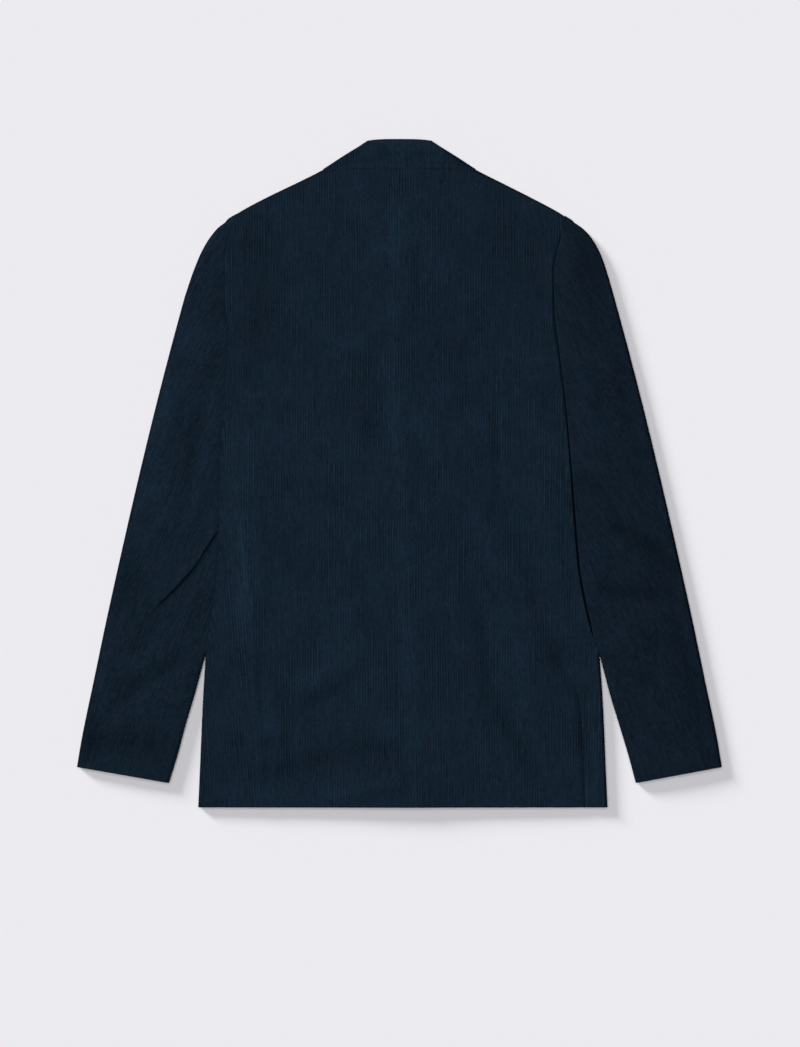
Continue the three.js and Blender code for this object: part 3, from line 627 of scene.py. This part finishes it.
# A lapel: a half-round turn at the roll line, then a leaf that widens to its point
def makeLapel(name, side, material):
    rise = np.linspace(0, 1, 70)[:, None]
    turn = np.radians(np.linspace(90, -90, 13))[None, :]
    leaf = edgeSteps(26, 0.01, 0.03)[None, 1:]
    outerTurn = (cloth["step"] + cloth["wall"]) / 2
    rollY = mix(side["lapelLowY"], 292, rise) - 0.4
    rollX = readCurve(rollLine, rollY)
    width = mix(6, 88, 1 - (1 - rise) ** 1.6)
    edgeY = mix(rollY, 256, rise)
    faces = []
    for inset in (0.0, cloth["wall"]):
        radius = outerTurn - inset
        foldX = rollX + outerTurn - radius * np.cos(turn)
        foldZ = outerTurn + radius * np.sin(turn) + 0 * rollX
        leafX = mix(rollX + outerTurn, rollX + width, leaf)
        leafY = mix(rollY, edgeY, leaf)
        x = np.concatenate([foldX, leafX], 1)
        y = np.concatenate([rollY + 0 * turn, leafY], 1)
        z = np.concatenate([foldZ, inset + 0 * leafX], 1)
        faces.append(np.stack([side["sign"] * x, y, z], -1))
    lean = -side["sign"] * 0.19
    grain = np.stack([faces[0][..., 0] + lean * faces[0][..., 1], faces[0][..., 1]], -1)
    return clothWall(name, faces[0], faces[1], grain, 1.0, material)


# The collar fall in sections from crease to free edge: on the back, round the side of the neck, and
# on the surface under the front. Columns: place in the row, crease, middle and edge as x, y.
collar = dict(
    shade=1.09,  # brightness of its pile, as the back's is 1
    fold=(40, 373.4, 86.6, 344.0),  # crease end and edge end of the line that it is turned over
    back=[
        (0, 0, 377.7, 0, 361, 0, 344.3), (1, 14, 377.6, 17, 361, 22, 344.2),
        (2, 27, 377.0, 34, 360.5, 44, 343.8), (3, 36.2, 375.8, 50, 359.0, 66, 343.2)],
    under=[
        (1, 42, 345, 68, 331, 94, 318), (2, 42, 318, 76, 303, 101, 303),
        (3, 41, 292.4, 84, 275.4, 106, 290)],
)


# Half of the fall as rows of x, y and z from crease to free edge, and how far each point is tilted. The
# sections lead into a half-round turn about the fold line, with a radius that grows from the crease.
def collarHalf(inset):
    fallHeight = cloth["height"] + cloth["step"]
    radius = fallHeight / 2
    v = edgeSteps(24, 0.008, 0.02)[None, :]

    def section(table, key):
        creaseX, creaseY, midX, midY, edgeX, edgeY = (
            readCurve([(row[0], row[k]) for row in table], key)[:, None] for k in range(1, 7))
        first, second = np.clip(v * 2, 0, 1), np.clip(v * 2 - 1, 0, 1)
        x = creaseX + (midX - creaseX) * first + (edgeX - midX) * second
        y = creaseY + (midY - creaseY) * first + (edgeY - midY) * second
        return x, y

    startX, startY, endX, endY = collar["fold"]
    lineX, lineY = endX - startX, endY - startY
    length = math.hypot(lineX, lineY)
    reach = np.minimum(radius, 0.3 + (radius - 0.3) * v * 3)
    hollow = 0.3 * np.sin(math.pi * v) ** 2

    def fold(angle):
        shift = (reach - inset) * np.cos(angle) - reach + hollow
        x = startX + lineX * v - lineY / length * shift
        y = startY + lineY * v + lineX / length * shift
        return x, y, radius + (radius - inset) * np.sin(angle)

    topX, topY = section(collar["back"], np.linspace(0, 3, 26))
    foldStart = fold(np.array([[math.pi / 2]]))
    blend = np.linspace(0, 1, 6)[1:-1, None]
    joinX, joinY = mix(topX[-1:], foldStart[0], blend), mix(topY[-1:], foldStart[1], blend)
    foldX, foldY, foldZ = fold(np.radians(np.linspace(90, -90, 17))[:, None])
    underX, underY = section(collar["under"], np.linspace(1, 3, 18))
    lowStart = fold(np.array([[-math.pi / 2]]))
    lowBlend = np.linspace(0, 1, 8)[1:-1, None]
    lowX, lowY = mix(lowStart[0], underX[:1], lowBlend), mix(lowStart[1], underY[:1], lowBlend)
    x = np.concatenate([topX, joinX, foldX, lowX, underX])
    y = np.concatenate([topY, joinY, foldY, lowY, underY])
    topCount, lowCount = len(topX) + len(joinX), len(lowX) + len(underX)
    roll = (2.0 * edgeRoll(v * 34, 4.0) + 0.3 * edgeRoll((1 - v) * 34, 1.2)) * (1 if inset == 0 else 0)
    sink = 1.55 * smooth(v, 0.3, 1.05)  # its free edge lies level with the back, which is bedded under it
    foldSink = sink * np.linspace(1, 0, len(foldZ))[:, None]
    # The tilt sets the painted edge shade: along the crease 0.6 of its roll, round the fold line its slope
    tilt = np.concatenate([
        0.6 * edgeRoll(v * 34, 4.0) + np.zeros((topCount, 1)),
        np.cos(np.radians(np.linspace(90, -90, len(foldZ))))[:, None] + 0 * v,
        np.zeros((lowCount, v.size))])
    z = np.concatenate([
        fallHeight - inset - roll - sink + np.zeros((topCount, 1)), foldZ - foldSink,
        inset + 0 * v + np.zeros((lowCount, 1))])
    return x, y, z, tilt


# The fall's wall: its half and the mirror of it
def makeCollar(name, material):
    faces = []
    for inset in (0.0, cloth["wall"]):
        x, y, z, tilt = collarHalf(inset)
        left = np.stack([-x[:0:-1], y[:0:-1], z[:0:-1]], -1)
        faces.append(np.concatenate([left, np.stack([x, y, z], -1)]))
    x, y = faces[0][..., 0], faces[0][..., 1]
    tilt = np.concatenate([tilt[:0:-1], tilt])
    # Painted shade and light of the body's folds, and painted shade on the crease and the fold's edge
    shade = collar["shade"] * bodyShade(x, y) * edgeShade(tilt)
    return clothWall(name, faces[0], faces[1], bodyGrain(x, y), shade, material)


# The stand: a band between the back neckline and the crease, where it is 1.7 mm higher
def makeStand(name, material):
    u = np.linspace(-1, 1, 61)[None, :]
    rise = np.linspace(0, 1, 17)[:, None]
    seamY = readCurve(backNeckline, np.abs(74 * u)) + 0.3
    x = mix(74, 33, rise) * u
    y = mix(seamY, 375.7, rise)
    z = cloth["height"] - 1.7 * (1 - rise) + 0 * x
    outer = np.stack([x, y, z], -1)
    inner = np.stack([x, y, z - cloth["wall"]], -1)
    return clothWall(name, outer, inner, bodyGrain(x, y), 1.0, material)


# Profile of a flat button with its face down: distance from its middle, then height
button = dict(
    face=[(0.02, 0.5), (4.2, 0.5), (6.2, 0.42), (7.2, 0.12), (8.4, 0.0), (9.5, 0.14), (10, 0.75)],
    back=[(0.02, 1.5), (4.2, 1.5), (6.2, 1.5), (7.2, 1.48), (8.4, 1.42), (9.5, 1.2), (10, 0.78)],
    places=dict(upper=-38, lower=-150),
)


# A button: its profile turned about its middle
def makeButton(name, y, material):
    turn = np.linspace(0, 2 * math.pi, 65)[None, :]
    grids = []
    for profile in (np.array(button["face"]), np.array(button["back"])):
        r, z = profile[:, :1], profile[:, 1:]
        grids.append(np.stack([r * np.cos(turn), r * np.sin(turn) + y, z + 0 * turn], -1))
    return clothWall(name, grids[0], grids[1], grids[0][..., :2].copy(), 1.0, material, around=True)


# sRGB hex to the linear values that the shaders take
def linear(code):
    channels = [int(code[i:i + 2], 16) / 255 for i in (1, 3, 5)]
    return [c / 12.92 if c <= 0.04045 else ((c + 0.055) / 1.055) ** 2.4 for c in channels] + [1.0]


# Adds one node; settings are its properties, inputs its values or the sockets linked to them
def addNode(tree, kind, settings=None, inputs=None):
    node = tree.nodes.new(kind)
    for name, value in (settings or {}).items():
        setattr(node, name, value)
    for key, value in (inputs or {}).items():
        if isinstance(value, bpy.types.NodeSocket):
            tree.links.new(value, node.inputs[key])
        else:
            node.inputs[key].default_value = value
    return node


# An empty material with its shader linked to the output
def newMaterial(name):
    material = bpy.data.materials.new(name)
    material.use_nodes = True
    tree = material.node_tree
    tree.nodes.clear()
    shader = addNode(tree, "ShaderNodeBsdfPrincipled")
    addNode(tree, "ShaderNodeOutputMaterial", inputs={"Surface": shader.outputs[0]})
    return material, tree, shader


# Mixed-wale cotton corduroy: cut pile in a wide and a narrow rib. It looks matt and deep, with soft
# bright streaks where the pile is rubbed and a faint sheen on its nap.
corduroyLook = dict(
    pair=6.1 * mm,  # one wide and one narrow wale
    pile="#0e1e29", violet="#121e2c",
    wale=0.118, pairWale=0.045, streak=0.8, fibre=0.75, grain=0.55, mottle=0.42, cloud=0.42, patch=0.45,
    bump=0.06 * mm, sheen=0.12)

# Noise in the cloth: size in millimetres across and along the wales, or 0 where it is the same in all
# directions, then detail and offset. A tuft is 0.3 mm wide, too fine for the render, so fibre is 0.9.
corduroyNoise = dict(
    drift=(9, 60, 2, 3.1), clear=(24, 70, 3, 7.7), streak=(2.1, 18, 2, 1.3), fibre=(0.9, 4, 1, 8.1),
    grain=(1.4, 0, 2, 0), mottle=(4, 6, 2, 6.3), cloud=(11, 34, 3, 5), patch=(60, 0, 2, 9),
    hue=(20, 0, 3, 4))


# The wales are the cosine of the place across them and of twice that, clear only in patches a finger long;
# tone = 1 + wales + the weighted noises, times the painted light and shade, and it scales the colour
def makeCorduroy(name, look):
    material, tree, shader = newMaterial(name)
    uv = addNode(tree, "ShaderNodeUVMap", {"uv_map": "grain"}).outputs[0]
    space = addNode(tree, "ShaderNodeTexCoord").outputs["Object"]
    # painted light and shade, from the pieces' own attribute
    paintedShading = addNode(tree, "ShaderNodeAttribute", {"attribute_name": "paintedShading"}).outputs["Fac"]
    made = dict(paintedShading=paintedShading, across=addNode(tree, "ShaderNodeSeparateXYZ", inputs={0: uv}).outputs[0])
    for key, (width, length, detail, offset) in corduroyNoise.items():
        scale = (1 / (width * mm), 1 / ((length or width) * mm), 1.0 if length else 1 / (width * mm))
        turned = addNode(tree, "ShaderNodeMapping", inputs={
            "Vector": uv if length else space, "Scale": scale, "Location": (offset, offset, offset)})
        noise = addNode(tree, "ShaderNodeTexNoise", {"noise_dimensions": "2D" if length else "3D"}, {
            "Vector": turned.outputs[0], "Scale": 1.0, "Detail": detail, "Roughness": 0.6})
        centred = addNode(tree, "ShaderNodeMath", {"operation": "SUBTRACT"}, {0: noise.outputs[0], 1: 0.5})
        made[key] = centred.outputs[0]
    steps = [
        ("turns", "MULTIPLY", "across", 2 * math.pi / look["pair"]),
        ("phase", "MULTIPLY_ADD", "drift", 1.6, "turns"),
        ("doubled", "MULTIPLY", "phase", 2),
        ("ribs", "COSINE", "doubled"),
        ("pairs", "COSINE", "phase"),
        ("shown", "MULTIPLY_ADD", "clear", 7.5, 0.8),
        ("shown", "MAXIMUM", "shown", 0.05),
        ("shown", "MINIMUM", "shown", 1.9),
        ("relief", "MULTIPLY_ADD", "pairs", look["pairWale"] / look["wale"], "ribs"),
        ("relief", "MULTIPLY", "relief", "shown"),
        ("tone", "MULTIPLY_ADD", "relief", look["wale"], 1)]
    steps += [
        ("tone", "MULTIPLY_ADD", key, look[key], "tone")
        for key in ("streak", "fibre", "grain", "mottle", "cloud", "patch")]
    steps += [
        ("tone", "MULTIPLY", "tone", "paintedShading"),
        ("hue", "MULTIPLY_ADD", "hue", 2.4, 0.5),
        ("raised", "MULTIPLY_ADD", "grain", 1.2, "relief")]
    for key, operation, *terms in steps:
        inputs = {place: made.get(term, term) for place, term in enumerate(terms)}
        made[key] = addNode(tree, "ShaderNodeMath", {"operation": operation}, inputs).outputs[0]
    base = addNode(tree, "ShaderNodeMix", {"data_type": "RGBA"}, {
        "Factor": made["hue"], 6: linear(look["pile"]), 7: linear(look["violet"])})
    coloured = addNode(tree, "ShaderNodeVectorMath", {"operation": "SCALE"}, {
        0: base.outputs[2], "Scale": made["tone"]})
    bump = addNode(tree, "ShaderNodeBump", inputs={
        "Height": made["raised"], "Distance": look["bump"], "Strength": 1.0})
    tree.links.new(coloured.outputs[0], shader.inputs["Base Color"])
    tree.links.new(bump.outputs[0], shader.inputs["Normal"])
    shader.inputs["Roughness"].default_value = 0.92
    shader.inputs["Specular IOR Level"].default_value = 0.05  # the pile traps the shine
    shader.inputs["Sheen Weight"].default_value = look["sheen"]
    shader.inputs["Sheen Roughness"].default_value = 0.5
    shader.inputs["Sheen Tint"].default_value = linear("#3f5c78")
    return material


# Cast polyester resin, polished: a dark body with a soft cloud about 6 mm wide and an even gloss
def makeResin(name):
    material, tree, shader = newMaterial(name)
    place = addNode(tree, "ShaderNodeTexCoord")
    cloud = addNode(tree, "ShaderNodeTexNoise", inputs={"Vector": place.outputs["Object"], "Scale": 160.0})
    ramp = addNode(tree, "ShaderNodeValToRGB", inputs={0: cloud.outputs[0]})
    ramp.color_ramp.elements[0].color = linear("#0d1015")
    ramp.color_ramp.elements[1].color = linear("#242a33")
    tree.links.new(ramp.outputs[0], shader.inputs["Base Color"])
    shader.inputs["Roughness"].default_value = 0.32
    shader.inputs["IOR"].default_value = 1.54
    return material


# Hangs a piece in the frame in place of its solids
def placePiece(piece, nodes):
    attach(piece, "root")
    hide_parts(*nodes)


# A pale paper floor just under the cloth
floorReach, floorZ = 15.0, -0.3 * mm
floorMesh = bpy.data.meshes.new("paperFloor")
floorCorners = [(floorReach * i, floorReach * j, floorZ) for i, j in ((-1, -1), (1, -1), (1, 1), (-1, 1))]
floorMesh.from_pydata(floorCorners, [], [(0, 1, 2, 3)])
floorMaterial, _, floorShader = newMaterial("palePaper")
floorShader.inputs["Base Color"].default_value = linear("#ebeaef")
floorShader.inputs["Roughness"].default_value = 0.9
floorShader.inputs["Specular IOR Level"].default_value = 0.0
floorMesh.materials.append(floorMaterial)
floor = bpy.data.objects.new("paperFloor", floorMesh)
bpy.context.collection.objects.link(floor)

# The sleeves and the collar are rubbed: their wales show less than the patches do. The right sleeve gets
# a darker copy, painted shade where its pile lies away from the light
corduroy = makeCorduroy("mixedWaleCorduroy", corduroyLook)
softLook = dict(
    corduroyLook, wale=0.045, pairWale=0.02, streak=0.6, fibre=0.55, grain=0.6, mottle=0.9, cloud=0.6,
    bump=0.05 * mm)
sleeveCorduroy = makeCorduroy("rubbedCorduroy", softLook)
# the right sleeve's copy, its colours painted darker as painted shade
paintedShadeCorduroy = makeCorduroy("shadedCorduroy", dict(softLook, pile="#0b1924", violet="#0f1925"))
resin = makeResin("castResinButton")

for key, side in sides.items():
    placePiece(makeBack("clothBack" + key.title(), side, corduroy), ["back_" + key])
    placePiece(makeFront("clothFront" + key.title(), side, corduroy), ["front_" + key])
    placePiece(makeSide("clothSide" + key.title(), side, corduroy), ["side_" + key])
    placePiece(makeLapel("clothLapel" + key.title(), side, corduroy), ["lapel_" + key])
    sleeveMaterial = sleeveCorduroy if key == "left" else paintedShadeCorduroy
    sleevePiece = makeSleeve("clothSleeve" + key.title(), key, sleeveMaterial)
    placePiece(sleevePiece, ["sleeve_upper_" + key, "sleeve_under_" + key])
    print("made the", key, "half")
placePiece(makeCollar("clothCollarFall", sleeveCorduroy), ["collar_fall"])
placePiece(makeStand("clothCollarStand", corduroy), ["collar_stand"])
print("made the collar")
for name, y in button["places"].items():
    placePiece(makeButton("resinButton" + name.title(), y, resin), ["button_" + name])
print("made the buttons")

# Camera straight above: the photograph's 800 by 1047 pixels are 1.13 mm each
photo = dict(height=1047, perPixel=1.13, centre=(0.65, -56.8), lens=85.0, sensor=36.0)
cameraData = bpy.data.cameras.new("overhead")
cameraData.lens = photo["lens"]
cameraData.sensor_width = photo["sensor"]
camera = bpy.data.objects.new("overhead", cameraData)
distance = photo["height"] * photo["perPixel"] * mm * photo["lens"] / photo["sensor"]
camera.location = (photo["centre"][0] * mm, photo["centre"][1] * mm, distance + cloth["height"] * mm)
bpy.context.collection.objects.link(camera)
bpy.context.scene.camera = camera


# A lamp as far off as the sun: towards points to it, and softness is the angle in degrees that it fills
def addLamp(name, towards, strength, softness):
    data = bpy.data.lights.new(name, "SUN")
    data.energy = strength
    data.angle = math.radians(softness)
    lamp = bpy.data.objects.new(name, data)
    lamp.rotation_euler = Vector(towards).to_track_quat("Z", "Y").to_euler()
    bpy.context.collection.objects.link(lamp)


addLamp("lowSoftbox", (-0.737, 0.621, 0.267), 4.1, 14)
addLamp("overheadSoftbox", (-0.1, 0.1, 1), 1.9, 50)
world = bpy.data.worlds.new("paleRoom")
world.use_nodes = True
world.node_tree.nodes["Background"].inputs[0].default_value = (1, 1, 1, 1)
world.node_tree.nodes["Background"].inputs[1].default_value = 0.06
bpy.context.scene.world = world
bpy.context.scene.view_settings.view_transform = "Standard"
print("set the floor, light and camera")
